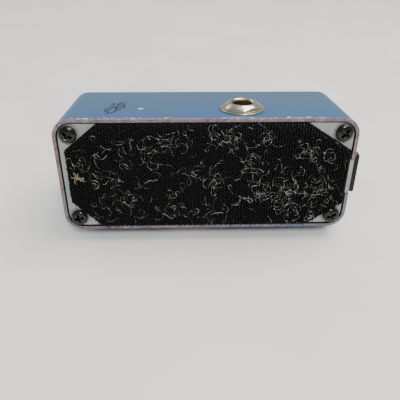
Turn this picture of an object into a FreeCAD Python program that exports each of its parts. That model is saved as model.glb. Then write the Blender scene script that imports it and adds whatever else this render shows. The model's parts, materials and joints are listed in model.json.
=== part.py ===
import FreeCAD, Part
import math
import os

# Pedal-format guitar amp head, in millimetres. It lies on its -Z side, as it is stored:
# +X runs towards the end with the power socket, +Y out through the control face, and
# +Z up through the wall with the input jack. The pieces are drawn from the base plate's
# outer face, and save() moves them so that the origin is on the hook tape's outer face.

V = FreeCAD.Vector
ALONG_Y = V(0, 1, 0)
ALONG_Z = V(0, 0, 1)

# case
case_length = 93.5
case_width = 38.5
case_draft = 0.5            # how much each side wall leans in over the case's depth
case_corner = 5.8
case_wall = 1.9
face_thickness = 2.2
face_edge = 1.5             # rounding round the control face
rim_width = 1.25            # lip round the base plate
rim_proud = 0.4             # lip above the base plate's outer face
rim_edge = 0.3

# base plate, its screws and the hook tape
plate_thickness = 1.5
plate_gap = 0.35
screw_inset = 4.85          # from the case's outer walls to each screw's axis
screw_radius = 1.5
screw_reach = 7.0           # below the plate
screw_head_overhang = 1.25
screw_head_height = 1.6
recess_arm = 1.55           # cross recess, from the middle to an arm's end
recess_half_slot = 0.42
recess_depth = 1.1
post_radius = 3.4
hole_clearance = 0.2
pad_thickness = 1.8
pad_to_screw = 0.1
pad_margins = {"left": 3.15, "right": 1.55, "bottom": 1.4, "top": 1.4}
pad_cuts = {"top_left": (10.5, 8.55), "top_right": (14.7, 9.25),
            "bottom_right": (11.4, 7.95), "bottom_left": (9.0, 9.15)}

# jacks
jack_to_plate = 1.2         # jack housings to the base plate's inner face
input_x = 11.4
output_x = -6.0
plug_bore = 3.2             # radius, for a 6.35 mm plug
bushing_radius = 4.5
nut_wall = 1.2              # from the thread to a flat
nut_flange = 0.52           # flange past the hexagon's corners
nut_flange_thickness = 0.5
nut_height = 2.3
nut_lip = 0.6               # nut above the bushing's end
lock_washer_width = 1.7
lock_washer_thickness = 0.5
jack_housing_width = 15.0
jack_housing_height = 12.4
jack_housing_length = 27.0
bushing_seat_depth = 4.0
jack_end_wall = 1.6         # housing beyond the plug's tip
contact_thickness = 0.4
contact_width = 3.0
contact_half_height = 2.4
contact_to_bore = 0.25      # blades outside the plug's way
contact_room = 0.05
tip_contact_in = 3.0        # from the housing's closed end
ground_contact_in = 9.0     # from the housing's open end

# power socket
socket_width = 13.3
socket_height = 11.0
socket_proud = 1.8
socket_depth = 13.0
socket_across = 0.2         # its middle, up from the case's middle
socket_past_tab = 1.5       # its flange past the upper end of the plate's tab
socket_body_gap = 0.1       # its body inside the tab's upper end
socket_floor = 0.25         # its edge nearest the base
socket_bore = 3.1
socket_pin_radius = 1.0
socket_pin_leg = 0.7        # radius of the pin behind the socket's floor
socket_floor_wall = 2.5
socket_pin_sunk = 1.6       # pin's tip behind the socket's mouth
notch_clearance = 0.12

# boards
board_thickness = 1.2
jack_to_board = 0.9         # jack housings to the main board
board_spacing = 3.7
board_side_gap = 1.2
board_right_gap = 9.2       # from the power end's outer wall, to clear the corner posts
board_to_switch = 1.5
lead_tail = 0.7             # pins and screws past the main board, towards the jacks
leg_tail = 0.6              # jack and socket legs past the main board, towards the controls
leg_gap = 0.15              # holes round legs
pin_half = 0.25             # square header pins
pin_gap = 0.1
header_first_x = -4.0
header_pitch = 2.0
header_pins_each = 8
header_half_width = 1.1
header_end = 1.2            # header past its last pin
spacer_radius = 2.0
board_screw_radius = 1.0
board_screw_head = 1.9
board_screw_head_height = 1.2
middle_spacer_x = 12.0

# rotary controls
pot_height = 6.7            # housing above its board
pot_gap = 0.2               # housing to the control face
large_knob_inset = 13.75    # from the power end's outer wall
knob_row_pitch = 14.0
large_knob_gap = 3.6        # between the two large knobs
small_pot_gap = 2.0         # between the small controls' housings
running_gap = 0.05
knob_lift = 0.8             # gap between knobs and the control face
large = {"knob": 6.8, "knob_height": 12.4, "shaft": 3.0, "bushing": 3.6, "housing": 9.6,
         "flutes": 18, "nut_flats": 9.0}
small = {"knob": 4.4, "knob_height": 9.6, "shaft": 2.0, "bushing": 2.8, "housing": 9.4,
         "flutes": 14, "nut_flats": 0}
pot_nut_height = 1.6
turned_to = {"gain": 25, "volume": -40, "bass": 0, "middle": -15, "treble": 35}

# foot switch, lamp and push button
switch_inset = 15.75        # from the far end's outer wall
switch_radius = 6.0
switch_bushing_wall = 1.95
switch_barrel_wall = 0.7
switch_barrel_step = 0.4    # barrel inside the housing, thinner than the bushing by this
switch_floor_wall = 3.5
switch_to_board = 1.6
switch_lug_pitch = 5.0
switch_step_depth = 3.0     # bushing's inner step, behind the control face
switch_top = 5.8            # bushing above the control face
switch_housing_size = 17.0
switch_housing_top = 6.7    # behind the control face
switch_housing_height = 15.0
switch_nut_wall = 1.0
switch_nut_height = 2.3
switch_washer_width = 2.6
switch_washer_thickness = 0.8
switch_travel = 1.8
switch_cap_radius = 5.2
switch_cap_height = 7.0
switch_cap_clear = 0.4      # cap above the bushing when pressed
switch_collar = 2.4
switch_wire = 0.35
switch_spring_radius = 3.6
switch_spring_turns = 5
lamp_x = -12.0
lamp_radius = 1.5
lamp_bezel_radius = 3.1
lamp_barrel_wall = 0.6
lamp_lead_pitch = 2.54
button_x = 5.0
button_radius = 2.1
button_proud = 2.2
button_travel = 1.0
button_housing = 6.2
button_top_gap = 1.0        # housing to the control face
button_lid = 0.8
button_room = 4.4           # from the housing's top to the spring's seat
button_plunger = 2.1
button_plunger_play = 0.1
button_stem = 1.4
button_cap_clear = 0.15     # cap above the housing when pressed
button_wire = 0.3
button_spring_radius = 1.55
button_spring_turns = 2.5

# places and sizes worked out from the ones above: the stack of jacks, boards and controls
# sets how deep the case is
rim_y = -rim_proud
jack_height = plate_thickness + jack_to_plate + jack_housing_height / 2
main_board_height = jack_height + jack_housing_height / 2 + jack_to_board
control_board_height = main_board_height + board_thickness + board_spacing
control_top = control_board_height + board_thickness
inner_y = control_top + pot_height + pot_gap
face_y = inner_y + face_thickness
case_depth = face_y - rim_y
lean = case_draft / case_depth
screw_x = case_length / 2 - screw_inset
screw_z = case_width / 2 - screw_inset + 0.1
screw_head_radius = screw_radius + screw_head_overhang
nut_flats = 2 * (bushing_radius + nut_wall)
nut_flange_radius = nut_flats / 2 / math.cos(math.pi / 6) + nut_flange
nut_top_radius = bushing_radius - 0.2
lock_washer_radius = bushing_radius + lock_washer_width
large_knob_x = case_length / 2 - large_knob_inset
small_knob_x = large_knob_x - knob_row_pitch
large_knob_spread = 2 * large["knob"] + large_knob_gap
small_knob_spread = small["housing"] + small_pot_gap
switch_x = switch_inset - case_length / 2
switch_barrel = switch_radius - switch_barrel_step
switch_bore = switch_radius - switch_bushing_wall
switch_spring_bore = switch_barrel - switch_barrel_wall
switch_nut_flats = 2 * (switch_radius + switch_nut_wall)
main_board_left = switch_x + switch_housing_size / 2 + board_to_switch
control_board_left = lamp_x - 5.0


def block(x0, x1, y0, y1, z0, z1):
    return Part.makeBox(x1 - x0, y1 - y0, z1 - z0, V(x0, y0, z0))


def rod(radius, start, end):
    way = end - start
    return Part.makeCylinder(radius, way.Length, start, way)


def ring(outer, inner, start, end):
    return rod(outer, start, end).cut(rod(inner, start, end))


def turned(profile, base, axis=ALONG_Y):
    # profile: (radius, distance along the axis) corners, closed, spun about the axis
    points = [V(r, h, 0) for r, h in profile]
    face = Part.Face(Part.makePolygon(points + points[:1]))
    solid = face.revolve(V(0, 0, 0), ALONG_Y, 360)
    solid.Placement = FreeCAD.Placement(base, FreeCAD.Rotation(ALONG_Y, axis))
    return solid


def hexagon(flats, base, axis, height, turn=0.0):
    corner = flats / 2 / math.cos(math.pi / 6)
    points = []
    for i in range(6):
        a = math.radians(turn + 60 * i)
        points.append(V(corner * math.cos(a), corner * math.sin(a), 0))
    solid = Part.Face(Part.makePolygon(points + points[:1])).extrude(V(0, 0, height))
    solid.Placement = FreeCAD.Placement(base, FreeCAD.Rotation(ALONG_Z, axis))
    return solid


def save(name, *solids):
    shape = solids[0].copy() if len(solids) == 1 else Part.makeCompound(list(solids))
    shape.translate(V(0, pad_thickness, 0))
    shape.exportStep("parts/" + name + ".step")


def rounded_outline(half_x, half_z, radius, y):
    # a rectangle in the XZ plane with round corners
    c = radius * (1 - math.sqrt(0.5))
    corners = [(1, 1), (-1, 1), (-1, -1), (1, -1)]
    arcs = []
    for sx, sz in corners:
        on_z = V(sx * half_x, y, sz * (half_z - radius))
        middle = V(sx * (half_x - c), y, sz * (half_z - c))
        on_x = V(sx * (half_x - radius), y, sz * half_z)
        ends = (on_z, on_x) if sx * sz > 0 else (on_x, on_z)
        arcs.append((ends[0], middle, ends[1]))
    edges = []
    for i, (start, middle, end) in enumerate(arcs):
        edges.append(Part.Arc(start, middle, end).toShape())
        edges.append(Part.LineSegment(end, arcs[(i + 1) % 4][0]).toShape())
    return Part.Wire(edges)


def case_outline(y, inset):
    shrink = inset + lean * (y - rim_y)
    return rounded_outline(case_length / 2 - shrink, case_width / 2 - shrink, case_corner - inset, y)


def case_block(y0, y1, inset):
    return Part.makeLoft([case_outline(y0, inset), case_outline(y1, inset)], True, True)


def edges_at(solid, y):
    return [e for e in solid.Edges if all(abs(v.Point.y - y) < 1e-6 for v in e.Vertexes)]


def screw_places():
    return [(sx * screw_x, sz * screw_z) for sx in (-1, 1) for sz in (-1, 1)]


def socket_sides():
    return socket_across - socket_width / 2, socket_across + socket_width / 2


def tab_sides(gap=0.0):
    # the base plate's tab and the notch over it, which the socket's flange covers
    z0, z1 = socket_sides()
    return z0 - gap, z1 - socket_past_tab + gap


def half_turned(solid):
    # the output jack is the input jack turned half round, so that it enters from -Z
    copy = solid.copy()
    copy.rotate(V(0, 0, 0), ALONG_Y, 180)
    copy.translate(V(input_x + output_x, 0, 0))
    return copy


def large_places():
    return {"gain": large_knob_spread / 2, "volume": -large_knob_spread / 2}


def small_places():
    return {"bass": small_knob_spread, "middle": 0.0, "treble": -small_knob_spread}


def controls():
    # every rotary control: name, size set, x and z
    found = [(name, large, large_knob_x, z) for name, z in large_places().items()]
    return found + [(name, small, small_knob_x, z) for name, z in small_places().items()]


def make_enclosure():
    shell = case_block(rim_y, face_y, 0)
    shell = shell.makeFillet(face_edge, edges_at(shell, face_y))
    shell = shell.makeFillet(rim_edge, edges_at(shell, rim_y))
    hollow = case_block(plate_thickness, inner_y, case_wall)
    recess = case_block(rim_y - 1, plate_thickness, rim_width)
    posts = [rod(post_radius, V(x, plate_thickness, z), V(x, inner_y, z)) for x, z in screw_places()]
    shell = shell.cut(hollow.cut(Part.makeCompound(posts))).cut(recess)
    z0, z1 = tab_sides(notch_clearance)
    x0 = case_length / 2 - 2 * case_wall
    cuts = [block(x0, case_length / 2 + 1, rim_y - 1, socket_floor + socket_height + notch_clearance, z0, z1)]
    for x, z in screw_places():
        cuts.append(rod(screw_radius, V(x, 0, z), V(x, plate_thickness + screw_reach + 1, z)))
    for x, sign in ((input_x, 1), (output_x, -1)):
        reach = V(0, 0, sign * (case_width / 2 + 1))
        cuts.append(rod(bushing_radius + hole_clearance, V(x, jack_height, 0), V(x, jack_height, 0) + reach))
    for _, sizes, x, z in controls():
        cuts.append(rod(sizes["bushing"] + hole_clearance, V(x, inner_y - 1, z), V(x, face_y + 1, z)))
    for x, radius in ((switch_x, switch_radius), (lamp_x, lamp_radius + lamp_barrel_wall),
                      (button_x, button_radius)):
        cuts.append(rod(radius + hole_clearance, V(x, inner_y - 1, 0), V(x, face_y + 1, 0)))
    save("enclosure", shell.cut(Part.makeCompound(cuts)))


def make_base_plate():
    inset = rim_width + plate_gap
    outline = rounded_outline(case_length / 2 - inset, case_width / 2 - inset, case_corner - inset, 0)
    plate = Part.Face(outline).extrude(V(0, plate_thickness, 0))
    z0, z1 = tab_sides()
    tab_end = case_length / 2 - 0.1
    plate = plate.fuse(block(case_length / 2 - 3 * inset, tab_end, 0, plate_thickness, z0, z1))
    plate = plate.removeSplitter()
    holes = [rod(screw_radius + hole_clearance, V(x, -1, z), V(x, plate_thickness + 1, z))
             for x, z in screw_places()]
    save("base_plate", plate.cut(Part.makeCompound(holes)))


def make_base_screws():
    head = [(0, 0), (screw_head_radius, 0), (screw_head_radius, -0.55 * screw_head_height),
            (0.72 * screw_head_radius, -0.92 * screw_head_height), (0, -screw_head_height)]
    arm, slot, deep = recess_arm, recess_half_slot, recess_depth
    screws = []
    for x, z in screw_places():
        screw = turned(head, V(x, 0, z))
        screw = screw.fuse(rod(screw_radius, V(x, 0, z), V(x, plate_thickness + screw_reach, z)))
        top = -screw_head_height
        cross = block(x - arm, x + arm, top - 1, top + deep, z - slot, z + slot)
        cross = cross.fuse(block(x - slot, x + slot, top - 1, top + deep, z - arm, z + arm))
        screws.append(screw.cut(cross))
    save("base_screws", *screws)


def pad_corners():
    # octagon of the hook tape: a rectangle by its margins inside the case, corners cut by hand
    left = -case_length / 2 + pad_margins["left"]
    right = case_length / 2 - pad_margins["right"]
    bottom = -case_width / 2 + pad_margins["bottom"]
    top = case_width / 2 - pad_margins["top"]
    corners = []
    for name, x, z in (("top_left", left, top), ("top_right", right, top),
                       ("bottom_right", right, bottom), ("bottom_left", left, bottom)):
        along, up = pad_cuts[name]
        inward = along if x == left else -along
        down = -up if z == top else up
        pair = [(x, z + down), (x + inward, z)]
        corners += pair if name in ("top_left", "bottom_right") else pair[::-1]
    return corners


def make_hook_pad():
    points = [V(x, 0, z) for x, z in pad_corners()]
    pad = Part.Face(Part.makePolygon(points + points[:1])).extrude(V(0, -pad_thickness, 0))
    heads = [rod(screw_head_radius + pad_to_screw, V(x, -pad_thickness - 1, z), V(x, 1, z))
             for x, z in screw_places()]
    save("hook_pad", pad.cut(Part.makeCompound(heads)))


def jack_pieces():
    # the input jack's pieces, whose plug enters from +Z
    x = input_x
    y = jack_height
    seat = case_width / 2 - lean * (y - nut_flange_radius - rim_y)
    inner = case_width / 2 - case_wall - lean * (y + lock_washer_radius - rim_y)
    housing_top = inner - lock_washer_thickness
    housing_end = housing_top - jack_housing_length

    def at(z):
        return V(x, y, z)

    nut_cone = [(0, 0), (nut_flange_radius, 0), (nut_top_radius, nut_height), (0, nut_height)]
    nut = hexagon(nut_flats, at(seat), ALONG_Z, nut_height, 30).common(turned(nut_cone, at(seat), ALONG_Z))
    nut = nut.fuse(rod(nut_flange_radius, at(seat), at(seat + nut_flange_thickness)))
    nut = nut.cut(rod(bushing_radius, at(seat - 1), at(seat + nut_height - nut_lip)))
    nut = nut.cut(rod(plug_bore + 0.3, at(seat), at(seat + nut_height + 1)))

    bushing_top = seat + nut_height - nut_lip
    bushing = rod(bushing_radius, at(housing_top - bushing_seat_depth), at(bushing_top))
    bushing = bushing.cut(rod(plug_bore, at(housing_top - bushing_seat_depth - 1), at(bushing_top + 1)))
    washer = ring(lock_washer_radius, bushing_radius + hole_clearance, at(housing_top), at(inner))

    half = jack_housing_width / 2
    half_y = jack_housing_height / 2
    housing = block(x - half, x + half, y - half_y, y + half_y, housing_end, housing_top)
    housing = housing.cut(rod(bushing_radius, at(housing_top - bushing_seat_depth), at(housing_top + 1)))
    housing = housing.cut(rod(plug_bore + 0.1, at(housing_end + jack_end_wall), at(housing_top)))
    contacts = []
    for z0, side in ((housing_end + tip_contact_in, 1), (housing_top - ground_contact_in, -1)):
        # a flat blade beside the plug's way, with its leg up through the main board
        near = plug_bore + contact_to_bore
        far = near + contact_thickness
        z1 = z0 + contact_width
        low, high = y - contact_half_height, y + contact_half_height
        xs = sorted((x + side * near, x + side * far))
        leg_top = main_board_height + board_thickness + leg_tail
        blade = block(xs[0], xs[1], low, high, z0, z1)
        leg = block(xs[0], xs[1], high, leg_top, z0 + contact_width / 3, z1 - contact_width / 3)
        contacts.append(blade.fuse(leg).removeSplitter())
        gap = contact_room
        room_xs = sorted((x, x + side * (far + gap)))
        room = block(room_xs[0], room_xs[1], low - gap, y + half_y + 1, z0 - gap, z1 + gap)
        housing = housing.cut(room)
    return {"jack_nut": nut, "jack_bushing": bushing, "jack_lock_washer": washer, "jack_housing": housing,
            "jack_tip_contact": contacts[0], "jack_ground_contact": contacts[1]}


def make_jacks():
    for name, solid in jack_pieces().items():
        save("input_" + name, solid)
        save("output_" + name, half_turned(solid))


def socket_axis():
    return socket_floor + socket_height / 2, socket_across


def make_power_socket():
    z0, z1 = socket_sides()
    y, z = socket_axis()
    front = case_length / 2 + socket_proud
    back = front - socket_depth
    tab_clear = plate_thickness + notch_clearance
    body = block(case_length / 2, front, socket_floor, socket_floor + socket_height, z0, z1)
    body = body.makeFillet(0.8, [e for e in body.Edges if abs(e.Vertexes[0].X - e.Vertexes[-1].X) > 1])
    inset = socket_past_tab + socket_body_gap
    top = socket_floor + socket_height
    body = body.fuse(block(back, case_length / 2, tab_clear, top, z0 + inset, z1 - inset))
    body = body.removeSplitter()
    bottom = back + socket_floor_wall
    tip = front - socket_pin_sunk
    body = body.cut(rod(socket_bore, V(bottom, y, z), V(front + 1, y, z)))
    body = body.cut(rod(socket_pin_leg, V(back - 1, y, z), V(front, y, z)))
    pin = rod(socket_pin_radius, V(bottom, y, z), V(tip, y, z))
    pin = pin.makeFillet(0.5, [e for e in pin.Edges if e.Vertexes[0].X > tip - 0.1 and len(e.Vertexes) == 1])
    pin = pin.fuse(rod(socket_pin_leg, V(back - 1, y, z), V(bottom, y, z)))
    save("power_socket_housing", body)
    save("power_socket_pin", pin)
    save("power_socket_terminals", *power_legs(0.0))


def power_legs(gap):
    back = case_length / 2 + socket_proud - socket_depth
    y, z = socket_axis()
    top = main_board_height + board_thickness + leg_tail
    base = socket_floor + socket_height
    legs = []
    for dx, dz in ((1.1, 3.6), (1.1, -3.6), (0.6, 0.0)):
        legs.append(block(back + dx - 0.25 - gap, back + dx + 0.25 + gap, base, top,
                          z + dz - 0.8 - gap, z + dz + 0.8 + gap))
    return legs


def jack_leg_holes():
    # room in the main board for the jacks' legs
    pieces = jack_pieces()
    rooms = []
    for name in ("jack_tip_contact", "jack_ground_contact"):
        for solid in (pieces[name], half_turned(pieces[name])):
            box = solid.BoundBox
            inset = contact_width / 3 - leg_gap
            rooms.append(block(box.XMin - leg_gap, box.XMax + leg_gap, main_board_height - 1,
                               control_board_height, box.ZMin + inset, box.ZMax - inset))
    return rooms


def board_half_width(y):
    return case_width / 2 - case_wall - lean * (y - rim_y) - board_side_gap


def standoff_places():
    inset = spacer_radius + 0.6
    x0 = control_board_left + inset
    z = board_half_width(control_top) - inset
    return [(x0, z), (x0, -z), (middle_spacer_x, 0.0)]


def standoff_rod(radius, x, z, y0, y1):
    return rod(radius, V(x, y0, z), V(x, y1, z))


def make_boards():
    right = case_length / 2 - board_right_gap
    half = board_half_width(control_top)
    main = block(main_board_left, right, main_board_height, main_board_height + board_thickness, -half, half)
    control = block(control_board_left, right, control_board_height, control_top, -half, half)
    holes = jack_leg_holes() + power_legs(leg_gap)
    for x, z in standoff_places():
        hole = board_screw_radius + pin_gap
        holes.append(standoff_rod(hole, x, z, main_board_height - 1, control_top + 1))
    low = switch_board_height()
    switch_half = switch_housing_size / 2 + 0.5
    foot = block(switch_x - switch_half, link_x() + header_end, low, low + board_thickness,
                 -switch_half, switch_half)
    for lug in switch_lugs(leg_gap):
        foot = foot.cut(lug)
    for pin in link_pins(pin_gap):
        holes.append(pin)
        foot = foot.cut(pin)
    for pin in header_pins(pin_gap):
        holes.append(pin)
    cutter = Part.makeCompound(holes)
    save("main_board", main.cut(cutter))
    save("control_board", control.cut(cutter))
    save("footswitch_board", foot)


def make_fasteners():
    screws = []
    spacers = []
    for x, z in standoff_places():
        y0 = main_board_height + board_thickness
        spacers.append(ring(spacer_radius, board_screw_radius + running_gap,
                            V(x, y0, z), V(x, control_board_height, z)))
        head_top = control_top + board_screw_head_height
        shank = standoff_rod(board_screw_radius, x, z, main_board_height - lead_tail, control_top)
        head = standoff_rod(board_screw_head, x, z, control_top, head_top)
        slot = block(x - 2, x + 2, head_top - 0.5, head_top + 1, z - 0.25, z + 0.25)
        screws.append(shank.fuse(head).cut(slot))
    save("board_standoffs", *spacers)
    save("board_screws", *screws)


def header_row():
    return board_half_width(control_top) - 2 * header_half_width


def header_pins(gap):
    z0 = header_row()
    half = pin_half + gap
    pins = []
    for i in range(header_pins_each):
        x = header_first_x + header_pitch * i
        for z in (z0, -z0):
            pins.append(block(x - half, x + half, main_board_height - lead_tail, control_top + 1.0,
                              z - half, z + half))
    return pins


def make_headers():
    z0 = header_row()
    half = header_half_width
    left = header_first_x - header_end
    right = header_first_x + header_pitch * (header_pins_each - 1) + header_end
    bodies = []
    for z in (z0, -z0):
        low = main_board_height + board_thickness
        body = block(left, right, low, control_board_height, z - half, z + half)
        bodies.append(body.cut(Part.makeCompound(header_pins(0.0))))
    save("board_header", *bodies)
    save("board_header_pins", *header_pins(0.0))
    y0 = switch_board_height() + board_thickness
    end = 2 * header_pitch + header_end
    link = block(link_x() - 0.9, link_x() + 0.9, y0, main_board_height, -end, end)
    save("footswitch_header", link.cut(Part.makeCompound(link_pins(0.0))), *link_pins(0.0))


def link_x():
    return main_board_left + 1.4


def link_pins(gap):
    half = pin_half + gap
    low = switch_board_height() - 0.8
    high = main_board_height + board_thickness + 0.8
    return [block(link_x() - half, link_x() + half, low, high, z - half, z + half)
            for z in (header_pitch * i for i in range(-2, 3))]


def switch_board_height():
    return face_y - switch_housing_top - switch_housing_height - switch_to_board - board_thickness


def switch_lugs(gap):
    top = face_y - switch_housing_top - switch_housing_height
    low = switch_board_height() - 1.0
    lugs = []
    for i in (-1, 0, 1):
        for j in (-1, 0, 1):
            x = switch_x + switch_lug_pitch * i
            z = switch_lug_pitch * j
            lugs.append(block(x - 0.3 - gap, x + 0.3 + gap, low, top, z - 1.0 - gap, z + 1.0 + gap))
    return lugs


def make_footswitch():
    def at(y):
        return V(switch_x, y, 0)

    top = face_y - switch_housing_top
    bottom = top - switch_housing_height
    floor = bottom + switch_floor_wall
    half = switch_housing_size / 2
    housing = block(switch_x - half, switch_x + half, bottom, top, -half, half)
    upright = [e for e in housing.Edges if abs(e.Vertexes[0].Y - e.Vertexes[-1].Y) > 1]
    housing = housing.makeFillet(0.8, upright)
    housing = housing.cut(rod(switch_barrel, at(floor), at(top + 1)))
    step = face_y - switch_step_depth
    bushing = rod(switch_radius, at(top), at(face_y + switch_top))
    bushing = bushing.fuse(rod(switch_barrel, at(floor), at(top)))
    bushing = bushing.cut(rod(switch_spring_bore, at(floor - 1), at(step)))
    bushing = bushing.cut(rod(switch_bore, at(floor), at(face_y + switch_top + 1)))
    rims = [e for e in edges_at(bushing, face_y + switch_top) if e.Curve.Radius > switch_bore + 1]
    bushing = bushing.makeChamfer(0.35, rims)
    save("footswitch_housing", housing)
    save("footswitch_bushing", bushing)
    save("footswitch_lugs", *switch_lugs(0.0))
    washer_top = face_y + switch_washer_thickness
    washer_radius = switch_radius + switch_washer_width
    save("footswitch_washer", ring(washer_radius, switch_radius + hole_clearance, at(face_y), at(washer_top)))
    save("footswitch_nut", switch_nut(washer_top))
    save("footswitch_inner_nut", switch_nut(inner_y - switch_nut_height))
    cap_low = face_y + switch_top + switch_travel + switch_cap_clear
    cap_top = cap_low + switch_cap_height
    stem = switch_bore - running_gap
    collar = switch_spring_bore - 2 * running_gap
    r = switch_cap_radius
    collar_low = step - switch_collar
    profile = [(0, collar_low), (collar, collar_low), (collar, step - running_gap),
               (stem, step - running_gap), (stem, cap_low), (r, cap_low + 0.4), (r, cap_top - 1.4),
               (r - 0.5, cap_top - 0.5), (r - 1.6, cap_top), (0, cap_top)]
    save("footswitch_plunger", turned([(a, b - step) for a, b in profile], at(step)))
    spring_low = floor + switch_wire
    spring_tall = collar_low - switch_wire - spring_low
    save("footswitch_spring", helix_spring(at(spring_low), spring_tall, switch_spring_radius,
                                           switch_wire, switch_spring_turns))


def switch_nut(y):
    # hexagon nut with both faces chamfered
    base = V(switch_x, y, 0)
    high = switch_nut_height
    corner = switch_nut_flats / 2 / math.cos(math.pi / 6)
    chamfer = 0.5
    outline = [(0, 0), (corner - chamfer, 0), (corner, chamfer), (corner, high - chamfer),
               (corner - chamfer, high), (0, high)]
    nut = hexagon(switch_nut_flats, base, ALONG_Y, high, 12).common(turned(outline, base))
    return nut.cut(rod(switch_radius, base - ALONG_Y, base + V(0, high + 1, 0)))


def helix_spring(base, length, radius, wire, turns):
    spine = Part.makeHelix(length / turns, length, radius)
    ring_section = Part.Wire(Part.Circle(V(radius, 0, 0), V(0, 1, 0), wire).toShape())
    spring = Part.Wire(spine.Edges).makePipeShell([ring_section], True, True)
    spring.Placement = FreeCAD.Placement(base, FreeCAD.Rotation(ALONG_Z, ALONG_Y))
    return spring


def make_lamp():
    def at(y):
        return V(lamp_x, y, 0)

    bore = lamp_radius + running_gap
    barrel = lamp_radius + lamp_barrel_wall
    bezel = [(bore, -1.5), (barrel, -1.5), (barrel, 0), (lamp_bezel_radius, 0), (lamp_bezel_radius, 0.4),
             (lamp_bezel_radius - 0.7, 1.1), (bore, 1.1)]
    save("lamp_bezel", turned(bezel, at(face_y)))
    base = inner_y - 2.5
    top = face_y + 1.6
    lens = [(0, base), (1.9, base), (1.9, base + 1.0), (lamp_radius, base + 1.0), (lamp_radius, top - 0.9),
            (0.8 * lamp_radius, top - 0.3), (0.4 * lamp_radius, top), (0, top)]
    save("lamp_lens", turned([(a, b - base) for a, b in lens], at(base)))
    leads = []
    for side in (-1, 1):
        x = lamp_x + side * lamp_lead_pitch / 2
        leads.append(block(x - pin_half, x + pin_half, control_top, base, -pin_half, pin_half))
    save("lamp_leads", *leads)


def make_button():
    def at(y):
        return V(button_x, y, 0)

    half = button_housing / 2
    top = inner_y - button_top_gap
    room_low = top - button_room
    stem = button_stem
    disc = button_plunger
    housing = block(button_x - half, button_x + half, control_top, top, -half, half)
    housing = housing.cut(rod(disc + button_plunger_play, at(room_low), at(top - button_lid)))
    housing = housing.cut(rod(stem + running_gap, at(top - 1), at(top + 1)))
    save("button_housing", housing)
    cap_top = face_y + button_proud
    cap_low = top + button_travel + button_cap_clear
    lock = top - button_lid - running_gap
    r = button_radius - running_gap
    profile = [(0, lock - 1.0), (disc, lock - 1.0), (disc, lock), (stem, lock), (stem, cap_low), (r, cap_low),
               (r, cap_top - 0.5), (r - 0.5, cap_top), (0, cap_top)]
    save("button_cap", turned([(a, b - lock) for a, b in profile], at(lock)))
    spring_low = room_low + button_wire
    spring_tall = lock - 1.0 - button_wire - spring_low
    save("button_spring", helix_spring(at(spring_low), spring_tall, button_spring_radius,
                                       button_wire, button_spring_turns))


def make_knob(sizes, x, z, turn):
    r = sizes["knob"]
    low = face_y + knob_lift
    tall = sizes["knob_height"]
    high = low + tall
    profile = [(0, 0), (r, 0), (r, 1.6), (r - 0.5, 2.1), (r - 0.8, tall - 0.8), (r - 1.5, tall), (0, tall)]
    knob = turned(profile, V(x, low, z))
    count = sizes["flutes"]
    cuts = []
    for i in range(count):
        a = math.radians(360.0 / count * (i + 0.5))
        px = x + r * math.cos(a)
        pz = z + r * math.sin(a)
        cuts.append(rod(0.55, V(px, low + 2.3, pz), V(px, high + 1, pz)))
    cuts.append(d_shaft(sizes["shaft"], x, z, low - 1, high - 2.0))
    if sizes["nut_flats"]:
        cuts.append(rod(r - 1.3, V(x, low - 1, z), V(x, face_y + pot_nut_height + 0.9, z)))
    else:
        cuts.append(rod(sizes["bushing"] + 0.3, V(x, low - 1, z), V(x, low + 0.5, z)))
    groove = block(x, x + r + 1, high - 0.45, high + 1, z - 0.35, z + 0.35)
    cuts.append(groove)
    knob = knob.cut(Part.makeCompound(cuts))
    knob.rotate(V(x, 0, z), ALONG_Y, -turn)
    return knob


def d_shaft(radius, x, z, y0, y1):
    shaft = rod(radius, V(x, y0, z), V(x, y1, z))
    return shaft.cut(block(x - radius, x - radius / 2, face_y + 2.0, y1 + 1, z - radius, z + radius))


def make_controls():
    nuts = []
    for name, sizes, x, z in controls():
        half = sizes["housing"] / 2
        shaft_r = sizes["shaft"]
        body_top = inner_y - pot_gap
        has_nut = sizes["nut_flats"] > 0
        bushing_top = face_y + pot_nut_height if has_nut else face_y + 0.3
        housing = block(x - half, x + half, control_top, body_top, z - half, z + half)
        housing = housing.fuse(rod(sizes["bushing"], V(x, body_top, z), V(x, bushing_top, z)))
        disc_low = control_top + 1.0
        disc = 1.2
        housing = housing.cut(rod(half - 0.9, V(x, disc_low - 0.1, z), V(x, disc_low + disc + 0.1, z)))
        housing = housing.cut(rod(shaft_r + running_gap, V(x, disc_low, z), V(x, bushing_top + 1, z)))
        save(name + "_pot_housing", housing)
        high = face_y + knob_lift + sizes["knob_height"]
        shaft = d_shaft(shaft_r, x, z, disc_low, high - 2.0)
        shaft = shaft.fuse(rod(half - 1.0, V(x, disc_low, z), V(x, disc_low + disc, z)))
        shaft.rotate(V(x, 0, z), ALONG_Y, -turned_to[name])
        save(name + "_shaft", shaft)
        save(name + "_knob", make_knob(sizes, x, z, turned_to[name]))
        if has_nut:
            nut = hexagon(sizes["nut_flats"], V(x, face_y, z), ALONG_Y, pot_nut_height, 7)
            nuts.append(nut.cut(rod(sizes["bushing"], V(x, face_y - 1, z), V(x, face_y + 3, z))))
    save("pot_nuts", *nuts)


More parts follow.
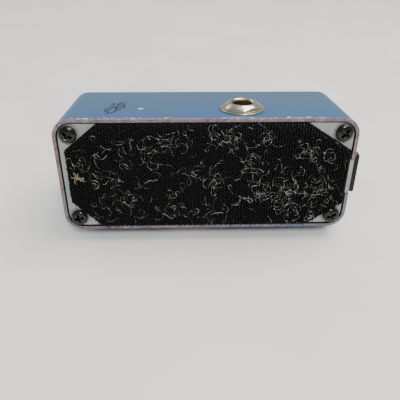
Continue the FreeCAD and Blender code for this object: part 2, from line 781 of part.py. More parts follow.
def make_components():
    # on the main board's control side, and larger capacitors beside the jacks
    y0 = main_board_height + board_thickness
    chips = []
    for x, z, length, width, height in ((21.0, 0.0, 10.0, 10.0, 1.4), (output_x, 0.0, 5.0, 6.2, 1.5),
                                        (2.0, -4.5, 5.0, 4.0, 1.5), (2.0, 4.5, 5.0, 4.0, 1.5),
                                        (31.0, 8.0, 6.5, 3.5, 1.7)):
        chip = block(x - length / 2, x + length / 2, y0, y0 + height, z - width / 2, z + width / 2)
        chips.append(chip.makeChamfer(0.15, edges_at(chip, y0 + height)))
    save("chips", *chips)
    cans = []
    for x, z in ((25.5, 11.0), (25.5, -11.0), (25.5, 3.6)):
        can = turned([(0, 0), (3.1, 0), (3.1, 0.9), (2.8, 1.2), (3.1, 1.5), (3.1, 6.8), (2.7, 7.1), (0, 7.1)],
                     V(x, main_board_height, z), V(0, -1, 0))
        cans.append(can)
    save("capacitors", *cans)


def main():
    os.makedirs("parts", exist_ok=True)
    make_enclosure()
    make_base_plate()
    make_base_screws()
    make_hook_pad()
    make_jacks()
    make_power_socket()
    make_boards()
    make_fasteners()
    make_headers()
    make_footswitch()
    make_lamp()
    make_button()
    make_controls()
    make_components()
    print("nodes written:", len([f for f in os.listdir("parts") if f.endswith(".step")]))


main()
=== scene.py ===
import json
import math
import random
import bpy
from mathutils import Matrix, Vector


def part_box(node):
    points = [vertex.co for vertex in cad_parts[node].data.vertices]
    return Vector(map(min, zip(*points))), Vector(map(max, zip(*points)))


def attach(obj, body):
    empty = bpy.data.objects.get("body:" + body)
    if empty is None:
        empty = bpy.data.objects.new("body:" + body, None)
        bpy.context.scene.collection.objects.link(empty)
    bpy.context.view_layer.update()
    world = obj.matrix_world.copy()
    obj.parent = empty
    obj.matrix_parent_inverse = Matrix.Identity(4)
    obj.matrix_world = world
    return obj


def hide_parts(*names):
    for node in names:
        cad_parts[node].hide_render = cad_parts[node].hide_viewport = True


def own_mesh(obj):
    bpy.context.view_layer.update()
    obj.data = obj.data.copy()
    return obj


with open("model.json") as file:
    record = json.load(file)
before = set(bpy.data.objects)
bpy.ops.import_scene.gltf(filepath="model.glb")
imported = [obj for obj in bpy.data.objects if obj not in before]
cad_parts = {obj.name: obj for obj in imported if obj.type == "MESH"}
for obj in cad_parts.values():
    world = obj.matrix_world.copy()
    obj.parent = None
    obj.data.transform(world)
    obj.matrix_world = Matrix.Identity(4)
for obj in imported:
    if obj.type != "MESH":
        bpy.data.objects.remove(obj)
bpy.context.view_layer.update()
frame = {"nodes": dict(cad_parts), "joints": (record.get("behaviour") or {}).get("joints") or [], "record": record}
mm = 0.001
upAxis = Vector((0, 0, 1))
origin = Vector((0, 0, 0))


# ---- working with objects ----

def deselectAll():
    if bpy.context.object and bpy.context.object.mode != "OBJECT":
        bpy.ops.object.mode_set(mode="OBJECT")
    bpy.ops.object.select_all(action="DESELECT")


def pick(*pieces):
    deselectAll()
    for piece in pieces:
        piece.select_set(True)
    bpy.context.view_layer.objects.active = pieces[0]
    return pieces[0]


def named(name):
    piece = bpy.context.object
    piece.name = name
    piece.data.name = name
    return piece


def settle(piece):
    # place and turn go into the mesh, so the object sits at the origin
    pick(piece)
    bpy.ops.object.transform_apply(location=True, rotation=True, scale=True)
    return piece


def selectFaces(piece, wanted):
    # leaves edit mode with the faces that the test wants selected
    pick(piece)
    bpy.ops.object.mode_set(mode="EDIT")
    bpy.ops.mesh.select_mode(type="FACE")
    bpy.ops.mesh.select_all(action="DESELECT")
    bpy.ops.object.mode_set(mode="OBJECT")
    for face in piece.data.polygons:
        face.select = wanted(face)
    bpy.ops.object.mode_set(mode="EDIT")


def doneEditing():
    bpy.ops.object.mode_set(mode="OBJECT")


def tidyMesh(piece, distance=0.002 * mm):
    pick(piece)
    bpy.ops.object.mode_set(mode="EDIT")
    bpy.ops.mesh.select_all(action="SELECT")
    bpy.ops.mesh.remove_doubles(threshold=distance)
    bpy.ops.mesh.normals_make_consistent(inside=False)
    bpy.ops.object.mode_set(mode="OBJECT")
    return piece


def applied(piece, kind, **settings):
    pick(piece)
    modifier = piece.modifiers.new(kind.title(), kind)
    for key, value in settings.items():
        setattr(modifier, key, value)
    bpy.ops.object.modifier_apply(modifier=modifier.name)
    return piece


def smoothed(piece, degrees=35):
    pick(piece)
    bpy.ops.object.shade_smooth_by_angle(angle=math.radians(degrees))
    return piece


def softened(piece, width, segments=2, angle=30):
    return applied(piece, "BEVEL", width=width, segments=segments, limit_method="ANGLE",
                   angle_limit=math.radians(angle), harden_normals=False)


def copied(piece, name):
    twin = piece.copy()
    twin.data = piece.data.copy()
    twin.name = name
    twin.data.name = name
    bpy.context.scene.collection.objects.link(twin)
    return twin


def block(name, size, place, turn=(0, 0, 0)):
    # a box of that size about its place
    deselectAll()
    bpy.ops.mesh.primitive_cube_add(size=1, location=place, rotation=turn)
    piece = named(name)
    piece.scale = size
    return settle(piece)


def drill(radius, depth, place, turn, sides):
    # a cylinder to cut a hole with
    deselectAll()
    bpy.ops.mesh.primitive_cylinder_add(vertices=sides, radius=radius, depth=depth, location=place,
                                        rotation=turn)
    return settle(bpy.context.object)


def combined(piece, other, operation="DIFFERENCE"):
    # cuts the other shape away, or adds it, and takes it out of the scene
    applied(piece, "BOOLEAN", operation=operation, object=other, solver="EXACT")
    bpy.data.objects.remove(other)
    return piece


def joined(name, pieces):
    pick(*pieces)
    if len(pieces) > 1:
        bpy.ops.object.join()
    return named(name)


def spun(name, profile, base, axis, steps):
    # profile: (radius, height) in metres, spun about the axis through the base
    mesh = bpy.data.meshes.new(name)
    points = [(r, 0, h) for r, h in profile]
    mesh.from_pydata(points, [(i, i + 1) for i in range(len(points) - 1)], [])
    piece = bpy.data.objects.new(name, mesh)
    bpy.context.scene.collection.objects.link(piece)
    pick(piece)
    bpy.ops.object.mode_set(mode="EDIT")
    bpy.ops.mesh.select_all(action="SELECT")
    bpy.ops.mesh.spin(steps=steps, angle=2 * math.pi, center=(0, 0, 0), axis=(0, 0, 1))
    bpy.ops.object.mode_set(mode="OBJECT")
    tidyMesh(piece)
    turn = upAxis.rotation_difference(axis).to_matrix().to_4x4()
    piece.data.transform(Matrix.Translation(base) @ turn)
    return piece


def tube(name, paths, radius, rounding, kind="NURBS", order=4, steps=12, closed=False):
    # each path is a spline with a round section, and the curve is made a mesh
    curve = bpy.data.curves.new(name, "CURVE")
    curve.dimensions = "3D"
    curve.bevel_depth = radius
    curve.bevel_resolution = rounding
    curve.resolution_u = steps
    curve.use_fill_caps = True
    for points in paths:
        spline = curve.splines.new(kind)
        spline.points.add(len(points) - 1)
        for target, point in zip(spline.points, points):
            target.co = (*point, 1)
        if kind == "NURBS":
            spline.order_u = order
            spline.use_endpoint_u = not closed
        spline.use_cyclic_u = closed
    piece = bpy.data.objects.new(name, curve)
    bpy.context.scene.collection.objects.link(piece)
    pick(piece)
    bpy.ops.object.convert(target="MESH")
    return named(name)


def finished(piece, body, material, replaces=()):
    piece.data.materials.clear()
    piece.data.materials.append(material)
    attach(piece, body)
    if replaces:
        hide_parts(*replaces)
    return piece


# ---- shader maths ----

class Value:
    # a shader socket, so that masks are written as sums and products
    def __init__(self, finish, socket):
        self.finish = finish
        self.socket = socket

    def maths(self, operation, other=None, turned=False, clamp=False):
        pair = [self] if other is None else [other, self] if turned else [self, other]
        settings = {"operation": operation, "use_clamp": clamp}
        return self.finish.node("ShaderNodeMath", settings, dict(enumerate(pair)))

    def __add__(self, other): return self.maths("ADD", other)
    def __radd__(self, other): return self.maths("ADD", other)
    def __sub__(self, other): return self.maths("SUBTRACT", other)
    def __rsub__(self, other): return self.maths("SUBTRACT", other, True)
    def __mul__(self, other): return self.maths("MULTIPLY", other)
    def __rmul__(self, other): return self.maths("MULTIPLY", other)
    def absolute(self): return self.maths("ABSOLUTE")
    def root(self): return self.maths("SQRT")
    def held(self): return self.maths("ADD", 0.0, clamp=True)
    def atLeast(self, other): return self.maths("MAXIMUM", other)
    def atMost(self, other): return self.maths("MINIMUM", other)

    def step(self, low, high):
        # 0 below low, 1 above high, smooth between
        return self.finish.node("ShaderNodeMapRange", {"interpolation_type": "SMOOTHSTEP"},
                                {"Value": self, "From Min": low, "From Max": high})


class Finish:
    # one material: nodes are added through node(), and cover() ends it
    def __init__(self, name):
        self.material = bpy.data.materials.new(name)
        self.material.use_nodes = True
        self.tree = self.material.node_tree
        self.tree.nodes.clear()
        place = self.node("ShaderNodeTexCoord", {}, {}, "Object")
        self.place = self.node("ShaderNodeVectorMath", {"operation": "SCALE"}, {0: place, "Scale": 1 / mm})
        split = self.tree.nodes.new("ShaderNodeSeparateXYZ")
        self.tree.links.new(self.place.socket, split.inputs[0])
        self.x, self.y, self.z = (Value(self, split.outputs[i]) for i in range(3))   # millimetres

    def node(self, kind, settings, values, output=0):
        made = self.tree.nodes.new(kind)
        for key, value in settings.items():
            setattr(made, key, value)
        for key, value in values.items():
            if isinstance(value, Value):
                self.tree.links.new(value.socket, made.inputs[key])
            else:
                made.inputs[key].default_value = value
        return Value(self, made.outputs[output])

    def noise(self, size, detail=3.0, rough=0.5, distort=0.0, place=None, output=0):
        # size: millimetres across a feature
        return self.node("ShaderNodeTexNoise", {}, {"Vector": place or self.place, "Scale": 1.0 / size,
                         "Detail": detail, "Roughness": rough, "Distortion": distort}, output)

    def cells(self, size, feature="F1", place=None, output=0):
        return self.node("ShaderNodeTexVoronoi", {"feature": feature},
                         {"Vector": place or self.place, "Scale": 1.0 / size}, output)

    def stretched(self, x, y, z, turn=(0.0, 0.0, 0.0)):
        values = {"Vector": self.place, "Scale": (x, y, z), "Rotation": turn}
        return self.node("ShaderNodeMapping", {}, values)

    def mix(self, factor, first, second):
        first = (*first, 1.0) if isinstance(first, tuple) else first
        second = (*second, 1.0) if isinstance(second, tuple) else second
        return self.node("ShaderNodeMix", {"data_type": "RGBA"}, {0: factor, 6: first, 7: second}, 2)

    def bump(self, height, strength=0.3, distance=0.1):
        values = {"Height": height, "Strength": strength, "Distance": distance * mm}
        return self.node("ShaderNodeBump", {}, values)

    def cover(self, colour, roughness, normal=None, **fixed):
        colour = (*colour, 1.0) if isinstance(colour, tuple) else colour
        values = {"Base Color": colour, "Roughness": roughness}
        if normal:
            values["Normal"] = normal
        values.update(fixed)
        shader = self.node("ShaderNodeBsdfPrincipled", {}, values)
        end = self.tree.nodes.new("ShaderNodeOutputMaterial")
        self.tree.links.new(shader.socket, end.inputs["Surface"])
        return self.material


def rgb(r, g, b):
    # 0 to 255 as seen, to linear
    return tuple((c / 255 / 12.92) if c <= 10 else ((c / 255 + 0.055) / 1.055) ** 2.4 for c in (r, g, b))


# ---- places read from the frame, in metres ----

caseLow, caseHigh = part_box("enclosure")
plateLow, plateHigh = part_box("base_plate")
padLow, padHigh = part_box("hook_pad")
rimY = caseLow.y
faceY = caseHigh.y
screwLow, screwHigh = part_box("base_screws")
screwHeadRadius = 2.75 * mm
screwX = screwHigh.x - screwHeadRadius
screwZ = screwHigh.z - screwHeadRadius
screwPlaces = [(-screwX, -screwZ), (-screwX, screwZ), (screwX, -screwZ), (screwX, screwZ)]
onEdge = (math.radians(90), 0, 0)       # turns a primitive's axis along y


def middleOf(node):
    low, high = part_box(node)
    return (low + high) / 2


def joint(name):
    return next(j for j in frame["joints"] if j["name"] == name)


# ---- paint, plate and plastic finishes ----

casePaint = {
    "blue": rgb(67, 91, 115),
    # painted shade: a darker, deeper copy of the blue, laid on towards the rim
    "shadedBlue": rgb(54, 87, 121),
    "primer": rgb(126, 109, 114),
    "primerDark": rgb(66, 46, 60),
    "chip": rgb(228, 228, 230),
    "rimDepth": 0.55,           # how far the bare primer reaches up the walls, millimetres
    "corner": 5.8,              # radius of the outline's corners
    "gap": (1.1, 1.22),         # painted shade in the gap beside the base plate, measured in from the outline
    "stain": (-34.0, -15.0),    # red stain low on the rim, along and up
    "dab": (-20.6, 11.6),       # pale dab on the upper wall, along and back from the middle
}


def makeCasePaint():
    f = Finish("wornBluePaint")
    rise = f.y - rimY / mm                              # millimetres above the rim
    # how far inside the case's outline, which has round corners
    overX = f.x.absolute() - (caseHigh.x / mm - casePaint["corner"])
    overZ = f.z.absolute() - (caseHigh.z / mm - casePaint["corner"])
    outX, outZ = overX.atLeast(0.0), overZ.atLeast(0.0)
    inward = casePaint["corner"] - (outX * outX + outZ * outZ).root() - overX.atLeast(overZ).atMost(0.0)
    gap = inward.step(*casePaint["gap"]) * (1 - rise.step(2.0, 2.4))
    ragged = f.noise(1.6, 4, 0.6) - 0.5
    fine = f.noise(0.35, 3, 0.6) - 0.5
    bare = 1 - (rise + ragged * 0.9 + fine * 0.35).step(0.12, casePaint["rimDepth"] - 0.12)
    near = 1 - (rise + ragged * 2.2 + fine * 0.8).step(0.5, 1.5)
    patchy = f.noise(7.0, 2, 0.5).step(0.4, 0.6) * 0.09
    flecks = (f.noise(0.7, 2, 0.7, place=f.stretched(0.5, 1.0, 0.5)) + patchy).step(0.63, 0.69)
    chips = (near - bare * 0.85).held() * flecks
    darkNicks = (near - bare * 0.7).held() * f.noise(1.2, 3, 0.65).step(0.56, 0.62) * (1 - chips)
    faceEdge = (faceY / mm - f.y + inward).maths("LESS_THAN", 2.4)
    nicks = f.noise(0.8, 2, 0.6).step(0.76, 0.79) * 0.8
    edgeNicks = faceEdge * f.noise(0.9, 3, 0.65).step(0.66, 0.7) * 0.7
    chips = (chips + (nicks + edgeNicks)).held()
    lowerRim = f.z.maths("LESS_THAN", -8.0) + f.z.maths("LESS_THAN", 0.0) * f.x.maths("GREATER_THAN", 40.0)
    blueLeft = f.noise(4.0, 3, 0.6).step(0.47, 0.6) * lowerRim.held()
    specks = f.noise(0.5, 2, 0.6).step(0.64, 0.7) * bare
    cloud = f.noise(14.0, 3, 0.55)
    # painted shading: the walls run from the darker blue at the rim to the plain blue 22 mm up
    paintedWallShade = f.mix(rise.step(0.0, 22.0), casePaint["shadedBlue"], casePaint["blue"])
    tone = f.mix(cloud.step(0.35, 0.7) * 0.3, paintedWallShade, rgb(68, 90, 112))
    wornPrimer = f.mix(f.noise(2.4, 4, 0.65).step(0.42, 0.68), casePaint["primer"], rgb(106, 92, 99))
    wornPrimer = f.mix(specks * 0.85, wornPrimer, casePaint["primerDark"])
    wornPrimer = f.mix(blueLeft * 0.55, wornPrimer, rgb(88, 108, 142))
    stainX, stainZ = casePaint["stain"]
    stainSpot = 1 - ((f.x - stainX) * 0.1).absolute().step(0.3, 1.6)
    stainSpot = stainSpot * (1 - (f.z - stainZ).step(0.0, 4.0))
    stain = f.noise(0.9, 3, 0.7).step(0.5, 0.58) * stainSpot
    wornPrimer = f.mix(stain * 0.85, wornPrimer, rgb(88, 36, 48))
    colour = f.mix(bare, tone, wornPrimer)
    colour = f.mix(darkNicks * 0.75, colour, rgb(28, 38, 58))
    colour = f.mix(chips * 0.9, colour, casePaint["chip"])
    dabX, dabY = (f.x - casePaint["dab"][0]) * 0.75, f.y - casePaint["dab"][1]
    dab = 1 - ((dabX * dabX + dabY * dabY).root() + f.noise(0.6, 3, 0.6) * 0.8).step(0.85, 1.25)
    colour = f.mix(dab * f.z.maths("GREATER_THAN", 17.0) * 0.8, colour, rgb(196, 208, 222))
    # a few hairline scratches and faint rub marks
    lines = f.noise(0.5, 1, 0.4, place=f.stretched(0.03, 1.0, 1.0, (0.3, 0.5, 0.9)))
    scratch = lines.step(0.72, 0.76) * f.noise(6.0, 2).step(0.5, 0.6)
    colour = f.mix(scratch * 0.16, colour, rgb(150, 168, 186))
    # painted shade: the inner wall in the gap beside the base plate is painted near black
    colour = f.mix(gap, colour, rgb(17, 18, 20))
    rough = 0.44 + f.noise(3.0, 4, 0.6) * 0.16 + bare * 0.2 + chips * 0.1
    grain = f.noise(0.45, 3, 0.55) * 0.35 + ragged * bare * 0.9 - chips * 0.6 - scratch * 0.3
    return f.cover(colour, rough, f.bump(grain, 0.22, 0.08), **{"Specular IOR Level": 0.32})


def makePlatePaint():
    f = Finish("palePlatePaint")
    dx = f.x.absolute() - screwX / mm
    dz = f.z.absolute() - screwZ / mm
    fromScrew = (dx * dx + dz * dz).root()
    # darker in a ring round each screw head
    screwRing = (1 - fromScrew.step(2.7, 3.9)) * (0.45 + f.noise(0.9, 3, 0.6) * 0.5)
    cloud = f.noise(5.0, 4, 0.6)
    base = f.mix(cloud.step(0.3, 0.75), rgb(134, 141, 135), rgb(154, 160, 154))
    colour = f.mix(screwRing, base, rgb(84, 88, 84))
    rub = f.noise(1.2, 4, 0.7, place=f.stretched(0.3, 1.0, 1.0)).step(0.6, 0.72)
    colour = f.mix(rub * 0.35, colour, rgb(196, 200, 195))
    rough = 0.42 + cloud * 0.15 + screwRing * 0.2
    return f.cover(colour, rough, f.bump(f.noise(0.3, 3, 0.6), 0.18, 0.05))


def makePlastic(name, colour, rough=0.45, grain=0.25, dust=0.25, shine=0.4):
    f = Finish(name)
    cloud = f.noise(2.5, 4, 0.6)
    light = tuple(min(1.0, c * 1.6 + 0.012) for c in colour)
    tone = f.mix(cloud.step(0.45, 0.8) * dust, colour, light)
    texture = f.noise(0.16, 2, 0.5) + cloud * 0.3
    return f.cover(tone, rough + cloud * 0.14, f.bump(texture, grain, 0.03), **{"Specular IOR Level": shine})


def makeMetal(name, colour, rough=0.2, brushed=0.0, tarnish=0.3, dark=None, coat=0.0):
    f = Finish(name)
    cloud = f.noise(1.8, 4, 0.6)
    dark = dark or tuple(c * 0.55 for c in colour)
    tone = f.mix(cloud.step(0.5, 0.85) * tarnish, colour, dark)
    marks = f.noise(0.5, 3, 0.65, place=f.stretched(1.0, 1.0, 0.25, (0.4, 0.9, 0.2)))
    spots = f.noise(0.28, 2, 0.6).step(0.62, 0.72)
    tone = f.mix(spots * tarnish * 0.6, tone, dark)
    rough = rough + cloud * 0.12 + marks * brushed * 0.2 + spots * 0.1
    return f.cover(tone, rough, f.bump(marks + spots * 0.4, 0.05 + brushed * 0.2, 0.02),
                   **{"Metallic": 1.0, "Coat Weight": coat, "Coat Roughness": 0.06})


def makeHookNylon():
    f = Finish("hookNylon")
    cloud = f.noise(3.0, 3, 0.6)
    # painted highlight: the hook tips, towards the tape's outer face, are painted lighter grey where light catches
    # them
    tip = 1 - (f.y - padLow.y / mm).step(0.05, 0.6)
    tone = f.mix(tip * (0.3 + cloud * 0.7), rgb(1, 1, 1), rgb(60, 62, 63))
    grain = f.bump(f.noise(0.1, 2), 0.2, 0.02)
    return f.cover(tone, 0.3 + cloud * 0.15, grain, **{"Specular IOR Level": 0.25})


def makeTapeBacking():
    f = Finish("tapeBacking")
    weft, warp = (f.node("ShaderNodeTexWave", {"bands_direction": way},
                         {"Vector": f.place, "Scale": scale, "Distortion": 0.6})
                  for way, scale in (("Z", 0.5), ("X", 0.39)))
    weave = weft * 0.5 + warp * 0.5
    tone = f.mix(weave, rgb(3, 3, 4), rgb(12, 12, 13))
    return f.cover(tone, 0.7 + weave * 0.15, f.bump(weave, 0.6, 0.1), **{"Specular IOR Level": 0.15})


def makeLint(name, dark, light):
    f = Finish(name)
    cloud = f.noise(1.7, 3, 0.7)
    tone = f.mix(cloud.step(0.42, 0.66), dark, light)
    return f.cover(tone, 0.8 + cloud * 0.1, f.bump(f.noise(0.08, 2), 0.2, 0.01))


def makeBoardMask():
    f = Finish("boardMask")
    tracks = f.cells(1.4, "DISTANCE_TO_EDGE").step(0.04, 0.09)
    tone = f.mix(tracks, rgb(18, 92, 50), rgb(12, 62, 34))
    return f.cover(tone, 0.3 + tracks * 0.1, f.bump(tracks, 0.2, 0.03))


def makeClearLens():
    f = Finish("lampLens")
    cloud = f.noise(0.8, 2)
    tone = f.mix(cloud, rgb(214, 222, 226), rgb(236, 238, 238))
    return f.cover(tone, 0.06 + cloud * 0.05, **{"Transmission Weight": 0.85, "IOR": 1.5})


print("finishes")
paint = makeCasePaint()
platePaint = makePlatePaint()
blackPlastic = makePlastic("blackPlastic", rgb(10, 10, 11), 0.34, 0.2, 0.12, 0.3)
knobPlastic = makePlastic("knobPlastic", rgb(26, 26, 28), 0.42, 0.35, 0.4)
nylonWasher = makePlastic("nylonWasher", rgb(28, 28, 30), 0.5)
switchBlue = makePlastic("switchBlue", rgb(36, 62, 128), 0.4)
buttonGrey = makePlastic("buttonGrey", rgb(188, 190, 188), 0.4)
chipPlastic = makePlastic("chipPlastic", rgb(34, 34, 36), 0.55)
nickel = makeMetal("nickel", rgb(200, 190, 166), 0.17, 0.05, 0.35, rgb(118, 107, 85))
blackNickel = makeMetal("blackNickel", rgb(38, 38, 36), 0.1, 0.0, 0.5, rgb(14, 14, 14), 0.45)
shaftMetal = makeMetal("shaftMetal", rgb(190, 190, 188), 0.3, 0.5)
springSteel = makeMetal("springSteel", rgb(168, 168, 166), 0.3, 0.3)
contactMetal = makeMetal("contactMetal", rgb(206, 184, 128), 0.25, 0.2)
canSleeve = makeMetal("canSleeve", rgb(84, 88, 132), 0.35, 0.1)
hookNylon = makeHookNylon()
tapeBacking = makeTapeBacking()
lintPale = makeLint("lintPale", rgb(54, 56, 52), rgb(190, 192, 182))
lintCream = makeLint("lintCream", rgb(150, 138, 110), rgb(214, 204, 178))
boardMask = makeBoardMask()
lampClear = makeClearLens()
whiteInk = makePlastic("whiteInk", rgb(222, 222, 216), 0.5, 0.15, 0.1)
inkMark = makePlastic("inkMark", rgb(24, 32, 52), 0.5, 0.2, 0.1)

slotFinish = {
    "case_paint": paint, "plate_paint": platePaint, "black_screw": blackNickel, "hook_tape": tapeBacking,
    "nickel": nickel, "shaft_metal": shaftMetal, "knob_plastic": knobPlastic, "contact_metal": contactMetal,
    "circuit_board": boardMask, "washer_nylon": nylonWasher, "switch_housing": switchBlue,
    "lamp_lens": lampClear, "button_plastic": buttonGrey, "spring_steel": springSteel,
    "capacitor_sleeve": canSleeve, "chip_plastic": chipPlastic, "black_plastic": blackPlastic,
}
for part in frame["record"]["subparts"]:
    node = frame["nodes"][part["node"]]
    node.data.materials.clear()
    node.data.materials.append(slotFinish[part["material_slot"]])


# ---- base screws ----

baseScrew = {
    "headRadius": 0.965 * screwHeadRadius,
    "headHeight": 1.6 * mm,
    "recessArm": 2.3 * mm,          # from the middle to an arm's end, at the head's top
    "recessSlot": 1.12 * mm,
    "recessDepth": 1.2 * mm,
    "armTaper": 0.42,               # share of each arm's length left at the bottom
    "slotTaper": (0.55, 0.42),      # and of the width, for the first and second slot
    "pointRadius": 0.95 * mm,
    "pointDepth": 2.2 * mm,
    "turns": (12, -31, 24, 51),     # degrees each head was left at
}


def makeScrewHead(name, x, z, turn):
    r = baseScrew["headRadius"]
    h = baseScrew["headHeight"]
    profile = [(0, 0), (0.9 * r, 0), (0.985 * r, 0.1 * h), (r, 0.25 * h), (r, 0.42 * h), (0.975 * r, 0.6 * h),
               (0.9 * r, 0.77 * h), (0.8 * r, 0.88 * h), (0.74 * r, 0.92 * h), (0.66 * r, 0.945 * h),
               (0.4 * r, 0.985 * h), (0, h)]
    head = spun(name, profile, origin, upAxis, 56)
    # the recess: two crossed wedges that narrow downwards, with a point in the middle
    size = (2 * baseScrew["recessArm"], baseScrew["recessSlot"], 2 * baseScrew["recessDepth"])
    cutters = []
    for angle, taper in zip((0, 90), baseScrew["slotTaper"]):
        cutter = block("recess", size, (0, 0, h), (0, 0, math.radians(angle)))
        for v in cutter.data.vertices:
            if v.co.z < h:
                v.co.x *= baseScrew["armTaper"]
                v.co.y *= taper
        cutters.append(cutter)
    deselectAll()
    bpy.ops.mesh.primitive_cone_add(vertices=16, radius1=0.0, radius2=baseScrew["pointRadius"],
                                    depth=baseScrew["pointDepth"], location=(0, 0, h))
    cutters.append(settle(bpy.context.object))
    for cutter in cutters:
        combined(head, cutter)
    softened(head, 0.15 * mm, 3, 28)
    smoothed(head, 40)
    place = Matrix.Translation((x, plateLow.y, z)) @ Matrix.Rotation(math.radians(90), 4, "X")
    head.data.transform(place @ Matrix.Rotation(math.radians(turn), 4, "Z"))
    return head


def makeScrews():
    heads = [makeScrewHead("screwHead%d" % i, x, z, turn)
             for i, ((x, z), turn) in enumerate(zip(screwPlaces, baseScrew["turns"]))]
    finished(joined("baseScrewHeads", heads), "case", blackNickel, ["base_screws"])


print("screws")
makeScrews()


# ---- hook tape and the lint caught in it ----

hookTape = {
    "backing": 0.55 * mm,
    "pitchX": 0.86 * mm,
    "pitchZ": 0.78 * mm,
    "stem": 0.21 * mm,
    "wide": 1.5,                # a stem's width over its thickness
    # each bend of a hook: share of its rise, sideways, size left, degrees turned
    "bends": [(0.62, 0, 0.95, 0), (0.26, 0.05 * mm, 0.95, 35), (0.06, 0.09 * mm, 0.9, 50),
              (-0.16, 0.08 * mm, 0.7, 40)],
    "edgeGap": 0.3 * mm,
    "edgeClear": 0.22 * mm,
    "screwGap": 0.25 * mm,
    "missing": 0.015,           # share of the hooks that are torn out
    "shortest": 0.82,
    "lean": 0.1,
    "seed": 7,
}


def padOutline():
    # corners of the tape, read from the CAD pad
    corners = {}
    for v in frame["nodes"]["hook_pad"].data.vertices:
        if v.co.y > padHigh.y - 0.01 * mm:
            corners[(round(v.co.x / mm, 2), round(v.co.z / mm, 2))] = v.co
    return [Vector((c.x, 0, c.z)) for c in corners.values()]


def octagonSides():
    # the tape's sides as (normal, distance) pairs: the four margins and the four corner cuts
    low, high = padLow, padHigh
    near = 0.02 * mm
    points = padOutline()
    sides = [((1, 0), high.x), ((-1, 0), -low.x), ((0, 1), high.z), ((0, -1), -low.z)]
    for sx in (-1, 1):
        for sz in (-1, 1):
            onTop = [p for p in points if abs(p.z - (high.z if sz > 0 else low.z)) < near]
            onSide = [p for p in points if abs(p.x - (high.x if sx > 0 else low.x)) < near]
            a = max(onTop, key=lambda p: sx * p.x)
            b = max(onSide, key=lambda p: sz * p.z)
            normal = Vector((abs(a.z - b.z) * sx, abs(a.x - b.x) * sz)).normalized()
            sides.append(((normal.x, normal.y), normal.x * a.x + normal.y * a.z))
    return sides


tapeSides = octagonSides()


def insideTape(x, z, margin):
    return all(n[0] * x + n[1] * z < d - margin for n, d in tapeSides)


def screwNear(x, z):
    away = math.hypot(abs(x) - screwX, abs(z) - screwZ)
    return away < screwHeadRadius + hookTape["screwGap"]


def makeTapeBackingPiece():
    # a plate cut back to the octagon, with room for the screws
    middle = (padLow + padHigh) / 2
    deselectAll()
    bpy.ops.mesh.primitive_plane_add(size=1, location=(middle.x, padHigh.y - 0.01 * mm, middle.z),
                                     rotation=onEdge)
    sheet = named("hookTapeBacking")
    sheet.scale = (padHigh.x - padLow.x, padHigh.z - padLow.z, 1)
    settle(sheet)
    for (nx, nz), distance in tapeSides[4:]:
        pick(sheet)
        bpy.ops.object.mode_set(mode="EDIT")
        bpy.ops.mesh.select_all(action="SELECT")
        bpy.ops.mesh.bisect(plane_co=(nx * distance, 0, nz * distance), plane_no=(nx, 0, nz),
                            use_fill=False, clear_outer=True)
        bpy.ops.object.mode_set(mode="OBJECT")
    for x, z in screwPlaces:
        if insideTape(x, z, -screwHeadRadius):
            combined(sheet, drill(screwHeadRadius + 0.1 * mm, 6 * mm, (x, padHigh.y, z), onEdge, 40))
    pick(sheet)
    bpy.ops.object.mode_set(mode="EDIT")
    bpy.ops.mesh.select_all(action="SELECT")
    bpy.ops.mesh.normals_make_consistent(inside=False)
    bpy.ops.mesh.extrude_region_move(TRANSFORM_OT_translate={"value": (0, -hookTape["backing"], 0)})
    bpy.ops.mesh.select_all(action="SELECT")
    bpy.ops.mesh.normals_make_consistent(inside=False)
    bpy.ops.object.mode_set(mode="OBJECT")
    softened(sheet, 0.08 * mm, 2, 40)
    return finished(sheet, "case", tapeBacking, ["hook_pad"])


def makeOneHook():
    # a nylon hook: a flat stem that rises from the tape and bends over at its tip
    root = padHigh.y - hookTape["backing"]
    start = root + 0.03 * mm
    deselectAll()
    bpy.ops.mesh.primitive_plane_add(size=hookTape["stem"], location=(0, start, 0), rotation=onEdge)
    hook = named("hook")
    hook.scale = (hookTape["wide"], 1, 1)
    settle(hook)
    pick(hook)
    bpy.ops.object.mode_set(mode="EDIT")
    bpy.ops.mesh.select_mode(type="FACE")
    bpy.ops.mesh.select_all(action="SELECT")
    rise = root - padLow.y
    middle = Vector((0, start, 0))
    for share, sideways, size, turn in hookTape["bends"]:
        step = (0, -share * rise, sideways)
        bpy.ops.mesh.extrude_region_move(TRANSFORM_OT_translate={"value": step})
        middle = middle + Vector(step)
        bpy.ops.transform.resize(value=(size, size, size), center_override=middle)
        if turn:
            bpy.ops.transform.rotate(value=math.radians(-turn), orient_axis="X", center_override=middle)
    bpy.ops.object.mode_set(mode="OBJECT")
    return hook


